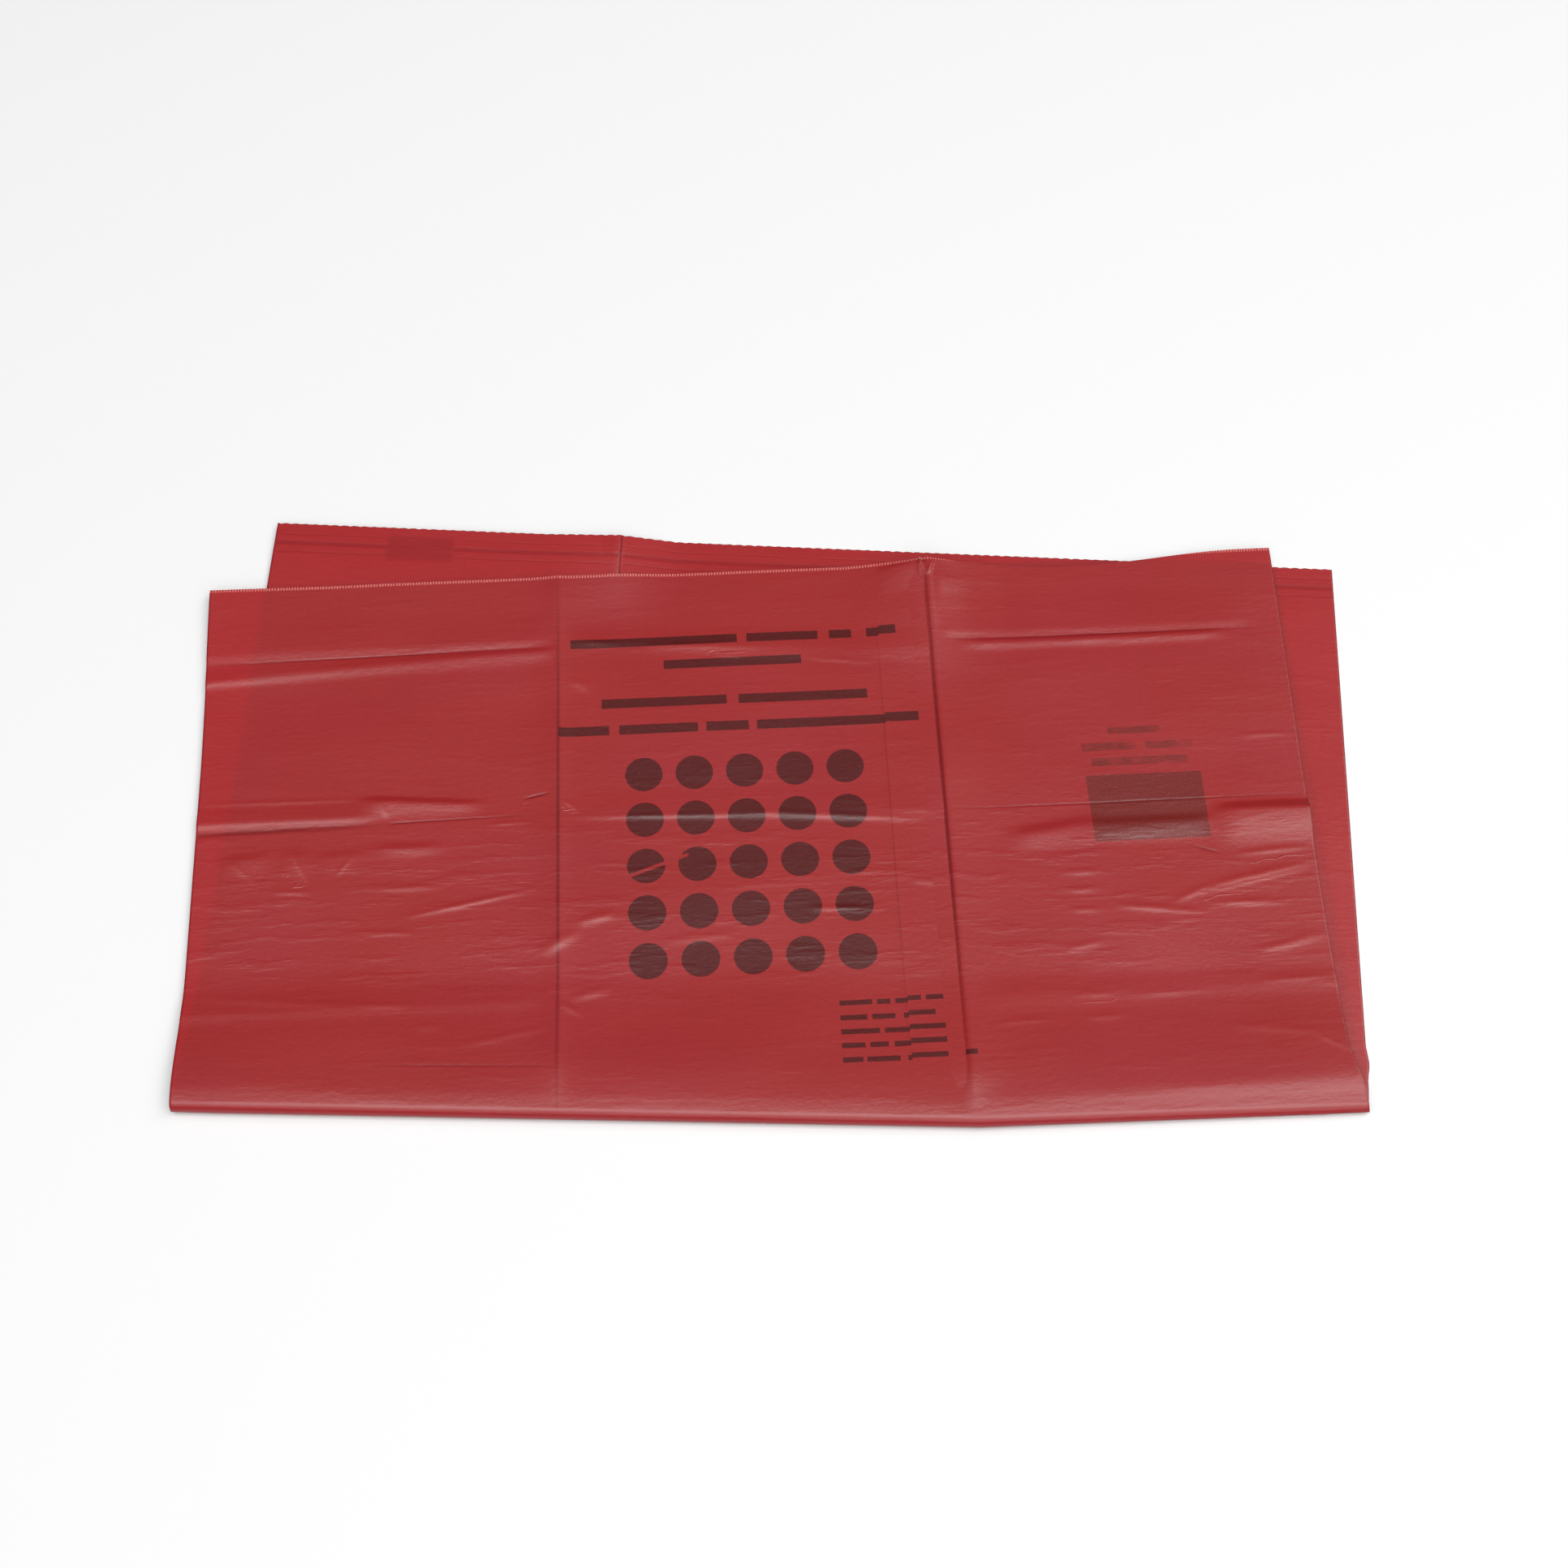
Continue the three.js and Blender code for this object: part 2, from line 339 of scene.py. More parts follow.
# What the printed ply does on top of that.
def printedRelief(across, down):
    pleat = relief["pleat"]
    height = 0 * across
    for spec in wrinkles:
        height = height + (1 - relief["fineShare"]) * wrinkle(across, down, spec)
    stand = ease((down - pleat["from"]) / pleat["fade"]) * ease((pleat["to"] - down) / pleat["fade"])
    aside = (across - pleat["across"]) / pleat["width"]
    return height + pleat["height"] * stand * np.exp(-(aside**2))


def unevenness(across, down):
    sag = relief["sag"]
    places = zip(across.ravel() / sag["size"], down.ravel() / sag["size"] * sag["ratio"])
    values = [noise.noise((x, y, sag["slice"])) for x, y in places]
    return sag["height"] * np.array(values).reshape(across.shape)


def folded(across, down, side):
    along, out = fromFold(across, down)
    y, z, faceY, faceZ = foldSection(out)
    away = np.abs(out) - quarterArc
    underAcross, underDown = toFlat(along, -out)
    clear = ease(away / (bag["foldEase"] / 3))
    upper = upperRelief(across, down) + unevenness(across, down)
    fine = ease(away / relief["fineStart"]) * printedRelief(across, down)
    upper = clear * upper + np.where(side > 0, fine, 0)
    carried = lowerRelief(underAcross, underDown)
    z = z + np.where((out > 0) & (away > 0), upper + carried, 0)
    z = z + np.where(out < 0, lowerRelief(across, down), 0)
    brow = relief["brow"]
    rightward = np.clip((across - rightCrease) / (bag["width"] - rightCrease), 0, 1)
    reach = brow["reach"] + brow["moreReach"] * rightward
    dip = (brow["drop"] + brow["moreDrop"] * rightward) * ease(1 - away / reach)
    z = z - np.where(out > 0, dip * ease(z / (2 * bag["foldRadius"])), 0)
    bow = bag["foldBow"] * np.minimum(across / rightCrease, (bag["width"] - across) / bag["sidePanel"])
    y = y - bow * (1 - ease(away / bag["foldEase"]))

    toSide = np.minimum(across, bag["width"] - across)
    air = np.minimum(ease(toSide / bag["edgeEase"]), ease((weldStart - down) / bag["edgeEase"]))
    gap = bag["edgeGap"] + (bag["plyGap"] - bag["edgeGap"]) * air
    gap = gap * (1 - ease((down - weldStart) / bag["weldBand"])) + bag["film"] * bag["weldShare"]
    aside = side * (gap + bag["film"]) / 2 * np.sqrt(np.clip(toSide / bag["edgeRound"], 0, 1))

    right, left, roll = relief["gatherRight"], relief["gatherLeft"], relief["roll"]
    turn = relief["gatherRound"]
    drawn = right["mouth"] + (right["by"] - right["mouth"]) * ease(down / right["full"])
    drawn = drawn * ease((across - bag["width"] + right["reach"]) / right["reach"])
    atFold = turn["share"] * ease((out + turn["under"]) / (turn["under"] + turn["start"]))
    drawn = drawn * (atFold + (1 - turn["share"]) * ease((out - turn["start"]) / turn["out"]))
    pushed = left["by"] * ease(1 - across / left["reach"])
    pushed = pushed * ease(down / left["full"]) * ease((left["to"] - down) / left["fade"])
    rolled = roll["by"] * ease(1 - np.abs(down - roll["down"]) / roll["half"])
    rolled = rolled * ease((across - bag["width"] + roll["reach"]) / roll["reach"])
    return along - drawn + pushed + rolled, y + aside * faceY, z + aside * faceZ


# How finely the film is divided. Fine places are given as where, how far to both sides, and the step.
meshing = {
    "upperStep": 1.6,
    "mouth": (0, 4, 0.9),
    "upperEnd": 262,  # down from here the rows begin to swing
    "swingRows": 22,
    "arcRows": 14,  # round the fold
    "underRows": 7,
    "lowerStart": 372,  # and here they are straight again
    "lowerStep": 9,
    "end": (bag["length"], 50, 3),
    "weld": (weldStart, 3, 1.2),
    "frontStep": 5.6,
    "backStep": 16,
    "sideEdges": [(0, 1, 0.25), (bag["width"], 1, 0.25)],
    "frontCreases": [(leftCrease, 3, 1.4), (rightCrease, 5, 1.4), (relief["pleat"]["across"], 2, 1.2)],
    "backCreases": [(leftCrease, 3, 3), (rightCrease, 3, 3)],
}


# Stations from start to end with a wide step, and a fine one near some places.
def stations(start, end, wide, fine):
    steps = [start]
    while steps[-1] < end:
        here = steps[-1]
        past = [(abs(here - at) - reach) / (2 * reach) for at, reach, _ in fine]
        near = [step + (wide - step) * ease(share) for share, (_, _, step) in zip(past, fine)]
        steps.append(here + float(min([wide, *near])))
    return (np.array(steps) - start) * (end - start) / (steps[-1] - start) + start


# Rows are straight across in both halves, and swing round to lie along the fold between them.
def rowsDown(across):
    slope = across * math.tan(skew)
    arc = quarterArc / math.cos(skew)
    upperEnd, lowerStart = meshing["upperEnd"], meshing["lowerStart"]
    upper = stations(0, upperEnd, meshing["upperStep"], [meshing["mouth"]])
    lower = stations(lowerStart, bag["length"], meshing["lowerStep"], [meshing["end"], meshing["weld"]])
    rows = [down + drawnIn(across) * (1 - down / upperEnd) for down in upper]
    topTangent, lowTangent = foldLeft + slope - arc, foldLeft + slope + arc
    counts = (meshing["swingRows"], meshing["arcRows"], meshing["underRows"])
    swing, bend, under = (np.linspace(0, 1, count + 1)[1:] for count in counts)
    rows += [upperEnd + (topTangent - upperEnd) * t for t in swing]
    rows += [topTangent + 2 * arc * t for t in bend]
    rows += [lowTangent + (lowerStart - lowTangent) * t for t in under[:-1]]
    rows += [down + 0 * slope for down in lower]
    return np.array(rows)


def drawnIn(across):
    dip = relief["mouthDip"]
    return dip["depth"] * ease(tent(across - rightCrease - dip["beside"], dip["reach"]))


def makeFilm():
    width, length = bag["width"], bag["length"]
    edges = meshing["sideEdges"]
    front = stations(0, width, meshing["frontStep"], meshing["frontCreases"] + edges)
    back = stations(0, width, meshing["backStep"], meshing["backCreases"] + edges)[::-1]
    across = np.concatenate([front, back[1:]])
    side = np.concatenate([np.ones(len(front)), -np.ones(len(back) - 1)])
    girth = np.where(side > 0, across, 2 * width - across)
    down = rowsDown(across)
    nRows, nColumns = down.shape
    print("film grid:", nRows, "rows of", nColumns, "triangles:", 4 * (nRows - 1) * (nColumns - 1))
    across, side, girth = (np.broadcast_to(v, down.shape) for v in (across, side, girth))
    x, y, z = folded(across, down, side)
    x0 = cadBox[0].x / mm - fromFold(0, 0)[0]
    y0 = cadBox[1].y / mm - (bag["foldRadius"] - fromFold(0, length)[1] - quarterArc)
    z0 = bag["plyGap"] / 2 + bag["film"]

    deselectAll()
    bpy.ops.mesh.primitive_grid_add(x_subdivisions=nColumns - 1, y_subdivisions=nRows - 1, size=1)
    film = bpy.context.object
    film.name = "film_bag"
    mesh = film.data
    places = np.empty(len(mesh.vertices) * 3)
    mesh.vertices.foreach_get("co", places)
    places = places.reshape(-1, 3)
    column = np.rint((places[:, 0] + 0.5) * (nColumns - 1)).astype(int)
    row = np.rint((0.5 - places[:, 1]) * (nRows - 1)).astype(int)
    places = np.stack([(x + x0)[row, column], (y + y0)[row, column], (z + z0)[row, column]], axis=1) * mm
    mesh.vertices.foreach_set("co", places.ravel())

    # the film's own map: girth and length of the tube, each as a share
    corners = np.empty(len(mesh.loops), dtype=int)
    mesh.loops.foreach_get("vertex_index", corners)
    shares = np.stack([girth[row, column] / (2 * width), down[row, column] / length], axis=1)
    mesh.uv_layers.active.data.foreach_set("uv", shares[corners].ravel())
    marks = {
        "wrinkleOne": wrinkles[::2],
        "wrinkleTwo": wrinkles[1::2],
        "crossCrease": creases,
        "lengthCrease": longCreases,
    }
    for name, specs in marks.items():
        found = nearestWrinkle(across, down, side, specs)[row, column]
        mesh.attributes.new(name, "FLOAT_VECTOR", "POINT").data.foreach_set("vector", found.ravel())
    mesh.update()

    # the cut past the weld is scalloped
    scallop = relief["endScallop"]
    lastRow = row == nRows - 1
    bpy.ops.object.mode_set(mode="EDIT")
    bpy.ops.mesh.select_mode(type="EDGE")
    bpy.ops.mesh.select_all(action="DESELECT")
    bpy.ops.object.mode_set(mode="OBJECT")
    for edge in mesh.edges:
        edge.select = bool(lastRow[edge.vertices[0]] and lastRow[edge.vertices[1]])
    bpy.ops.object.mode_set(mode="EDIT")
    bpy.ops.mesh.subdivide(number_cuts=scallop["cuts"])
    bpy.ops.object.mode_set(mode="OBJECT")
    for vertex in mesh.vertices:
        if vertex.select:
            swing = abs(math.sin(math.pi * vertex.co.x / mm / scallop["pitch"]))
            vertex.co.x += scallop["depth"] * swing * math.sin(skew) * mm
            vertex.co.y += scallop["depth"] * (swing - 0.5) * math.cos(skew) * mm

    # the tube closes along its left side fold, and the film gets its thickness
    bpy.ops.object.mode_set(mode="EDIT")
    bpy.ops.mesh.select_all(action="SELECT")
    bpy.ops.mesh.remove_doubles(threshold=1e-7)
    bpy.ops.object.mode_set(mode="OBJECT")
    wall = film.modifiers.new("wall", "SOLIDIFY")
    wall.thickness = bag["film"] * mm
    wall.offset = 0
    bpy.ops.object.modifier_apply(modifier=wall.name)
    bpy.ops.object.shade_smooth_by_angle(angle=math.radians(50))
    return film


film = makeFilm()
print("film shaped:", len(film.data.polygons), "faces")


class Wire:
    # a socket of a node, so that a pattern can be written as a sum
    def __init__(self, paint, socket):
        self.paint, self.socket = paint, socket

    def __add__(self, other):
        return self.paint.sum("ADD", self, other)

    def __sub__(self, other):
        return self.paint.sum("SUBTRACT", self, other)

    def __mul__(self, other):
        return self.paint.sum("MULTIPLY", self, other)

    def __truediv__(self, other):
        return self.paint.sum("DIVIDE", self, other)

    def __rsub__(self, other):
        return self.paint.sum("SUBTRACT", other, self)

    __radd__, __rmul__ = __add__, __mul__


class Paint:
    # the nodes of one material, or of the room
    def __init__(self, owner):
        owner.use_nodes = True
        self.tree = owner.node_tree

    def shader(self, kind):
        return next(node for node in self.tree.nodes if node.type == kind)

    def plug(self, socket, value):
        if isinstance(value, Wire):
            self.tree.links.new(value.socket, socket)
        elif value is not None:
            socket.default_value = value

    def node(self, kind, settings=(), sockets=(), out=0):
        made = self.tree.nodes.new("ShaderNode" + kind)
        for name, value in dict(settings).items():
            setattr(made, name, value)
        for name, value in dict(sockets).items():
            self.plug(made.inputs[name], value)
        return Wire(self, made.outputs[out])

    def sum(self, operation, *values, clamp=False):
        settings = {"operation": operation, "use_clamp": clamp}
        return self.node("Math", settings, enumerate(values))

    def slide(self, value, low, high, first, last):
        # first up to low, last from high on, and a soft way between
        settings = {"interpolation_type": "SMOOTHSTEP", "clamp": False}
        return self.node("MapRange", settings, {0: value, 1: low, 2: high, 3: first, 4: last})

    def above(self, value, edge, soft):
        # 0 under the edge and 1 over it, over a short way
        return self.slide(value, edge - soft / 2, edge + soft / 2, 0, 1)

    def within(self, value, low, high, soft):
        half = (high - low) / 2
        return self.above(half - self.sum("ABSOLUTE", value - (low + high) / 2), 0, soft)

    def most(self, *values):
        result = values[0]
        for value in values[1:]:
            result = self.sum("MAXIMUM", result, value)
        return result

    def blend(self, share, first, second, how="MIX"):
        settings = {"data_type": "RGBA", "blend_type": how}
        return self.node("Mix", settings, {0: share, 6: first, 7: second}, 2)

    def grain(self, where, name):
        # noise from 0 to 1, stretched by its scales
        scaleAcross, scaleDown, detail, rough = grains[name]
        stretched = self.node("Mapping", {}, {"Vector": where, "Scale": (scaleAcross, scaleDown, 1)})
        sockets = {"Vector": stretched, "Scale": 1.0, "Detail": detail, "Roughness": rough}
        return self.node("TexNoise", {"noise_dimensions": "3D"}, sockets)

    def line(self, name):
        # the wrinkles of one of the mesh's attributes, each with a rounded top
        mark = self.node("Attribute", {"attribute_name": name}, {}, 1)
        aside = self.node("SeparateXYZ", {}, {"Vector": mark})
        height = self.node("SeparateXYZ", {}, {"Vector": mark}, 1)
        return self.sum("EXPONENT", aside * aside * -1) * height


# Film and inks, and how the print lies on the bag. Colours are linear.
filmLook = {
    "deep": (0.252, 0.0128, 0.013, 1),  # four plies over each other
    "cool": (0.25, 0.0128, 0.0155, 1),  # painted bluish reflection of the room, in random patches
    "thin": (0.282, 0.0125, 0.0145, 1),  # two plies over a white table
    "ink": (0.06, 0.002, 0.002, 1),
    "indicator": (0.1, 0.009, 0.006, 1),
    "whitenedAndLit": (0.50, 0.13, 0.12, 1),  # film stretched by the saw, and painted light at the fold's foot
    "paintedSheen": (0.42, 0.10, 0.085, 1),  # painted sheen along the wrinkles
    "creaseShadeAndWeld": (0.13, 0.002, 0.004, 1),  # painted shade in the creases and along the side edges, also the darker weld lines
    "front": (0.235, 0.002, 0.006, 1),  # painted shade on the turned film of the fold
    "roughness": 0.32,
    "unevenGloss": 0.1,
}

# Noise on the film: how fast it changes for each millimetre across and down, its detail and roughness.
grains = {
    "cloud": (0.011, 0.02, 3, 0.5),
    "sheenCloud": (0.007, 0.013, 2, 0.5),
    "dieLines": (1.3, 0.01, 2, 0.5),  # run down the bag
    "windLines": (0.012, 1.1, 2, 0.5),  # run across it
    "mottle": (0.22, 0.4, 4, 0.6),
    "broken": (0.9, 0.16, 2, 0.6),
    "wander": (0.5, 0.5, 2, 0.5),
    "worn": (0.35, 0.9, 5, 0.65),
    "inkDepth": (0.6, 0.6, 3, 0.5),
    "speck": (1.6, 1.6, 2, 0.6),
    "faded": (0.08, 0.12, 2, 0.5),
    "loose": (0.02, 0.11, 3, 0.55),
}

# What the patterns do to the film's shade, and to its relief in millimetres.
shadeShare = {"cloud": 0.12, "dieLines": 0.07, "windLines": 0.1, "mottle": 0.14}
reliefDepth = {"dieLines": 0.016, "windLines": 0.016, "mottle": 0.12}
evenShade = 0.79
creaseDepth = 0.25
sheenShare = 0.5  # of a wrinkle's height in millimetres, as painted sheen
slack = {"at": 0.6, "soft": 0.26, "depth": 0.07, "more": 0.08, "from": 165, "to": 250, "fade": 40}

# Edges and marks of the film, in millimetres, with how soft they are and how much they show.
softness = {"printedPly": 0.5, "overlapSides": 5, "overlapEnds": 2}
# where the painted bluish reflection lies
coolSheenAt = {"at": 0.52, "soft": 0.2}
weldLines = [(0, 2.6, 2, 0.35), (-5, -4, 1, 0.2), (7, 7.6, 0.8, 0.2)]  # down from where the weld starts
thickPatch = {"across": (65, 103), "down": (650, 666), "soft": 4, "share": 0.3}
# painted shade along a crease in the welded end and along the side edges
endCreaseShade = {"across": (199.1, 200.3), "soft": 0.8, "from": 590, "fade": 30, "share": 0.75}
sideEdgeShade = {"width": 0.7, "soft": 0.9, "share": 0.45}
# painted shade on the fold's front face
foldFrontShade = {"out": (-7, 5), "soft": 3, "share": 0.8}
# painted light at the fold's foot
litFoldFoot = {"out": (-6.6, -4.2), "soft": 1.6, "share": 0.5}
sawCut = {"pitch": 1.6, "depth": 1.7, "soft": 0.6, "wander": 1.2, "at": 0.45, "toothSoft": 0.4, "share": 0.9}

# Print, as rows of plain bars: where a row lies down the bag, how tall its bars are, and where each
# starts and ends across the bag.
printLines = [
    (44.4, 5.6, [(204, 297.5), (303, 343), (349.5, 362), (370.5, 386)]),
    (59.5, 5.6, [(256, 333)]),
    (83.3, 5.8, [(221, 290.5), (297, 368.5)]),
    (100, 5.8, [(197, 225), (230.5, 274), (278.5, 302), (306.5, 395)]),
]
smallLines = [
    (265.8, 2.6, [(342, 359), (361.5, 368.5), (371, 383.5), (386, 401.5)]),
    (273.4, 2.6, [(342, 356), (358.5, 370.5), (375, 390.5)]),
    (280.5, 2.6, [(342, 362), (364.5, 398)]),
    (287.4, 2.6, [(342, 354), (356.5, 366), (369, 397.5)]),
    (294.6, 2.6, [(342, 352.5), (354.5, 371.5), (375.5, 410)]),
]
sideLines = [
    (115, 4.2, [(500, 529.5)]),
    (124.6, 4.8, [(484, 515.5), (520.5, 546.5)]),
    (134, 4.8, [(488.5, 543.5)]),
]
dotField = {"across": 298.5, "down": 183, "pitch": 27.5, "count": 5, "radius": 10.2}
indicatorPatch = {"left": 484.5, "right": 550, "top": 142, "bottom": 182, "lean": 0.03, "soft": 0.6}
stipple = {"at": 0.47, "soft": 0.16, "even": 0.35, "specks": 0.65}
sideInkLook = {"at": 0.80, "soft": 0.25, "faded": 0.7, "share": 0.75, "edge": 0.5}
inkLook = {"edge": 0.4, "wornAt": 0.33, "wornSoft": 0.04, "least": 0.9, "more": 0.12}
pleatSlip = {"beside": 0.5, "soft": 0.6, "across": 1.0, "down": 1.2}  # the pleat moves the print apart
printWander = 0.5
scratch = {"across": 220, "down": 194, "slope": 0.36, "width": (-1.2, 0.8), "soft": 0.6}
scratchEnds = {"from": 230, "to": 266, "soft": 2}


def printedBars(paint, across, down, rows, soft):
    bars = 0
    for centre, height, spans in rows:
        row = 0
        for start, end in spans:
            row = paint.within(across, start, end, soft) + row
        bars = row * paint.within(down, centre - height / 2, centre + height / 2, soft) + bars
    return bars


# A plain field of round dots, as many down as across.
def dots(paint, across, down):
    pitch, reach = dotField["pitch"], dotField["pitch"] * dotField["count"] / 2
    x, y = across - dotField["across"], down - dotField["down"]
    toDotX, toDotY = (paint.sum("PINGPONG", place, pitch / 2) for place in (x, y))
    away = paint.sum("SQRT", toDotX * toDotX + toDotY * toDotY)
    soft = inkLook["edge"]
    field = paint.within(x, -reach, reach, soft) * paint.within(y, -reach, reach, soft)
    return paint.above(dotField["radius"] - away, 0, soft) * field


def makeFilmMaterial():
    material = bpy.data.materials.new("red_film")
    paint = Paint(material)
    surface = paint.shader("BSDF_PRINCIPLED")
    flat = paint.node("UVMap", {"uv_map": film.data.uv_layers.active.name})
    girth = paint.node("SeparateXYZ", {}, {"Vector": flat}) * (2 * bag["width"])
    down = paint.node("SeparateXYZ", {}, {"Vector": flat}, 1) * bag["length"]
    printedPly = paint.above(bag["width"] - girth, 0, softness["printedPly"])
    across = bag["width"] - paint.sum("ABSOLUTE", girth - bag["width"])
    place = paint.node("CombineXYZ", {}, {"X": girth, "Y": down})

    # the other half lies over or under a spot as far as its own edges reach
    double = 2 * skew
    past = down - foldLeft
    otherAcross = across * math.cos(double) + past * math.sin(double)
    otherDown = across * math.sin(double) - past * math.cos(double) + foldLeft
    overlapped = paint.within(otherAcross, 0, bag["width"], softness["overlapSides"])
    overlapped = overlapped * paint.within(otherDown, 0, bag["length"], softness["overlapEnds"])
    out = across * math.sin(skew) - past * math.cos(skew)

    patterns = {name: paint.grain(place, name) for name in shadeShare}
    # painted bluish reflection of the room, in random patches
    coolSheen = paint.above(paint.grain(place, "sheenCloud"), coolSheenAt["at"], coolSheenAt["soft"])
    body = paint.blend(coolSheen, filmLook["deep"], filmLook["cool"])
    body = paint.blend(overlapped, filmLook["thin"], body)
    shade = evenShade
    for name, share in shadeShare.items():
        shade = shade + patterns[name] * share
    body = paint.blend(1.0, body, shade, "MULTIPLY")

    # the weld and a patch of thicker ply in the welded end, then painted shade along a crease there, along
    # the side edges and in the creases
    spots = [
        paint.within(down, weldStart + top, weldStart + bottom, soft) * share
        for top, bottom, soft, share in weldLines
    ]
    thick = paint.within(across, *thickPatch["across"], thickPatch["soft"])
    spots.append(thick * paint.within(down, *thickPatch["down"], thickPatch["soft"]) * thickPatch["share"])
    creased = paint.within(across, *endCreaseShade["across"], endCreaseShade["soft"])
    spots.append(creased * paint.above(down, endCreaseShade["from"], endCreaseShade["fade"]) * endCreaseShade["share"])
    # painted shade along the side edges
    edge = paint.sum("MINIMUM", across, bag["width"] - across)
    spots.append(paint.above(sideEdgeShade["width"] - edge, 0, sideEdgeShade["soft"]) * sideEdgeShade["share"])
    dark = paint.most(*spots)
    # painted shade along the crosswise and lengthwise creases
    dark = paint.most(dark, paint.line("crossCrease"), paint.line("lengthCrease"))
    body = paint.blend(dark, body, filmLook["creaseShadeAndWeld"])
    # painted shade on the fold's front face
    front = paint.within(out, *foldFrontShade["out"], foldFrontShade["soft"]) * foldFrontShade["share"]
    body = paint.blend(front, body, filmLook["front"])

    # the wrinkles that the mesh is too coarse for, drawn as bump and as painted sheen
    ripples = paint.line("wrinkleOne") + paint.line("wrinkleTwo")
    broken = paint.grain(place, "broken")
    # painted sheen along the wrinkles
    sheen = paint.sum("MULTIPLY", ripples * sheenShare, broken, clamp=True)
    body = paint.blend(sheen, body, filmLook["paintedSheen"])

    # print
    slipped = paint.above(across, relief["pleat"]["across"] + pleatSlip["beside"], pleatSlip["soft"])
    wander = paint.grain(place, "wander")
    printAcross = across + wander * printWander - slipped * pleatSlip["across"] - printWander / 2
    printDown = down + wander * printWander + slipped * pleatSlip["down"] - printWander / 2
    rows = printedBars(paint, printAcross, printDown, printLines + smallLines, inkLook["edge"])
    solidInk = paint.most(rows, dots(paint, printAcross, printDown))
    worn = paint.grain(place, "worn")
    besideScratch = (printAcross - scratch["across"]) * scratch["slope"] + (printDown - scratch["down"])
    scratched = paint.within(besideScratch, *scratch["width"], scratch["soft"])
    scratched = scratched * paint.within(across, scratchEnds["from"], scratchEnds["to"], scratchEnds["soft"])
    unworn = paint.above(worn, inkLook["wornAt"], inkLook["wornSoft"])
    cover = solidInk * (1 - scratched) * unworn * printedPly
    inkDensity = inkLook["least"] + paint.grain(place, "inkDepth") * inkLook["more"]

    # the fainter print and the indicator patch on the right panel
    speck = paint.grain(place, "speck")
    faded = paint.grain(place, "faded")
    sideInk = printedBars(paint, printAcross, printDown, sideLines, sideInkLook["edge"])
    kept = paint.above(speck + faded * sideInkLook["faded"], sideInkLook["at"], sideInkLook["soft"])
    sideInk = sideInk * kept * sideInkLook["share"]
    box = indicatorPatch
    leaning = printAcross + (printDown - box["top"]) * -box["lean"]
    patch = paint.within(leaning, box["left"], box["right"], box["soft"])
    patch = patch * paint.within(printDown, box["top"], box["bottom"], box["soft"])
    specks = paint.above(speck, stipple["at"], stipple["soft"]) * stipple["specks"]
    patch = patch * (stipple["even"] + specks)
    indicator = paint.most(sideInk, patch) * printedPly

    colour = paint.blend(indicator, body, filmLook["indicator"])
    colour = paint.blend(cover * inkDensity, colour, filmLook["ink"])

    # the saw cut across the mouth leaves a row of whitened teeth, and the light that comes through the
    # fold's foot is painted on
    half = sawCut["pitch"] / 2
    teeth = paint.sum("PINGPONG", across + wander * sawCut["wander"], half) / half
    cut = paint.above(sawCut["depth"] - down, 0, sawCut["soft"])
    cut = cut * paint.above(teeth, sawCut["at"], sawCut["toothSoft"])
    # painted light at the fold's foot
    footLight = paint.within(out, *litFoldFoot["out"], litFoldFoot["soft"]) * litFoldFoot["share"]
    colour = paint.blend(paint.most(cut * sawCut["share"], footLight), colour, filmLook["whitenedAndLit"])
    paint.plug(surface.inputs["Base Color"], colour)

    roughness = filmLook["roughness"] + (patterns["cloud"] - 0.5) * filmLook["unevenGloss"]
    paint.plug(surface.inputs["Roughness"], roughness)

    # relief too fine for the mesh, in millimetres
    loose = paint.above(paint.grain(place, "loose"), slack["at"], slack["soft"])
    busy = paint.within(down, slack["from"], slack["to"], slack["fade"])
    height = ripples * relief["fineShare"] - dark * creaseDepth
    for name, depth in reliefDepth.items():
        height = height + patterns[name] * depth
    height = height + loose * (slack["depth"] + busy * slack["more"])
    bump = paint.node("Bump", {}, {"Height": height, "Distance": mm, "Strength": 1.0})
    paint.plug(surface.inputs["Normal"], bump)
    return material


film.data.materials.clear()
film.data.materials.append(makeFilmMaterial())
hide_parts("bag")
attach(film, "root")
print("film painted")


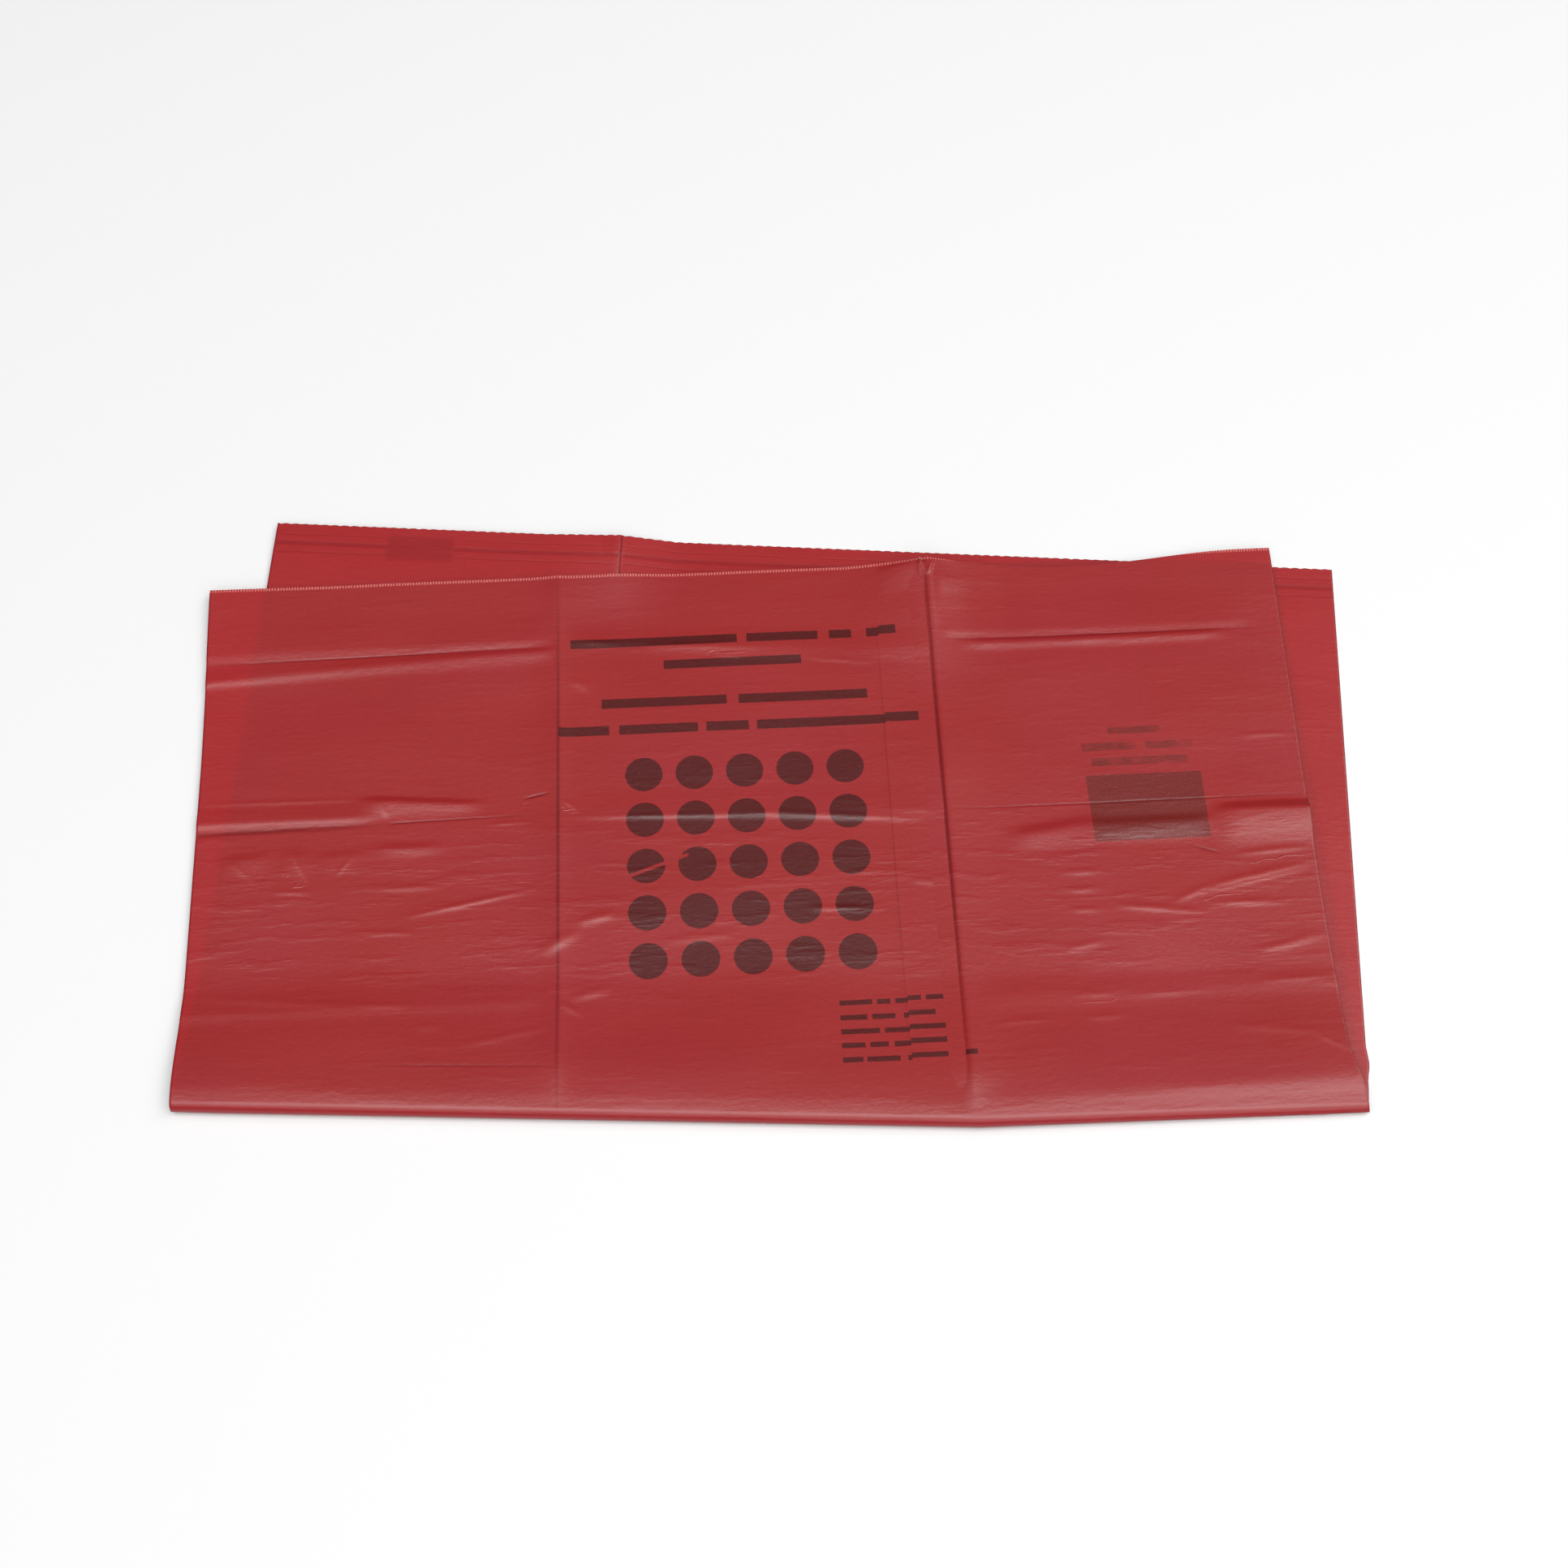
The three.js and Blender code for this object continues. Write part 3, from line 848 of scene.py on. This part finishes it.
# Table, lights and camera. The room is even where the flat film mirrors it, brighter over the camera
# and dim towards the level on the far side.
studio = {
    "table": 8.0,
    "tableColour": (0.68, 0.68, 0.68, 1),
    "tableRoughness": 0.6,
    "brightSide": (0.2, -0.45, 0.87),
    "room": ((0.15, 0.5, 0.05, 0.32), (0.69, 0.88, 0, 1.7)),  # from, to, and how bright at both
    "focal": 2785,  # in pixels of the photograph
    "photo": 1932,
    "sensor": 36,
    "camera": (0.0058, -0.546, 1.1003),
    "lookDown": 63,
}
lights = {
    "top_box": {"place": (0.3, -0.5, 3.0), "aim": (0.3, -0.5, 0), "size": (3.8, 1.8), "power": 62},
    "right_box": {"place": (2.2, 0.9, 2.4), "aim": (0, 0, 0), "size": (1.4, 1.2), "power": 18},
}


def makeTable():
    deselectAll()
    bpy.ops.mesh.primitive_plane_add(size=studio["table"])
    table = bpy.context.object
    table.name = "table_top"
    material = bpy.data.materials.new("white_table")
    surface = Paint(material).shader("BSDF_PRINCIPLED")
    surface.inputs["Base Color"].default_value = studio["tableColour"]
    surface.inputs["Roughness"].default_value = studio["tableRoughness"]
    table.data.materials.append(material)


def makeLight(name, place, aim, size, power):
    deselectAll()
    bpy.ops.object.light_add(type="AREA", location=place)
    light = bpy.context.object
    light.name = name
    light.data.shape = "RECTANGLE"
    light.data.size, light.data.size_y = size
    light.data.energy = power
    toward = [a - b for a, b in zip(aim, place)]
    pitch = math.atan2(math.hypot(toward[0], toward[1]), -toward[2])
    light.rotation_euler = Euler((pitch, 0, math.atan2(-toward[0], toward[1])))


def makeCamera():
    deselectAll()
    bpy.ops.object.camera_add(location=studio["camera"])
    camera = bpy.context.object
    camera.rotation_euler = (math.radians(90 - studio["lookDown"]), 0, 0)
    camera.data.sensor_width = studio["sensor"]
    camera.data.lens = studio["sensor"] * studio["focal"] / studio["photo"]
    camera.data.clip_start = 0.01
    bpy.context.scene.camera = camera


def makeRoom():
    world = bpy.data.worlds.new("room")
    bpy.context.scene.world = world
    paint = Paint(world)
    way = paint.node("TexCoord")
    toBright = paint.node("VectorMath", {"operation": "DOT_PRODUCT"}, {0: way, 1: studio["brightSide"]}, 1)
    faint, strong = (paint.slide(toBright, *steps) for steps in studio["room"])
    background = paint.shader("BACKGROUND")
    background.inputs["Color"].default_value = (1, 1, 1, 1)
    paint.plug(background.inputs["Strength"], faint + strong)


makeTable()
for name, light in lights.items():
    makeLight(name, **light)
makeRoom()
makeCamera()
bpy.context.scene.view_settings.view_transform = "Standard"
print("studio ready")
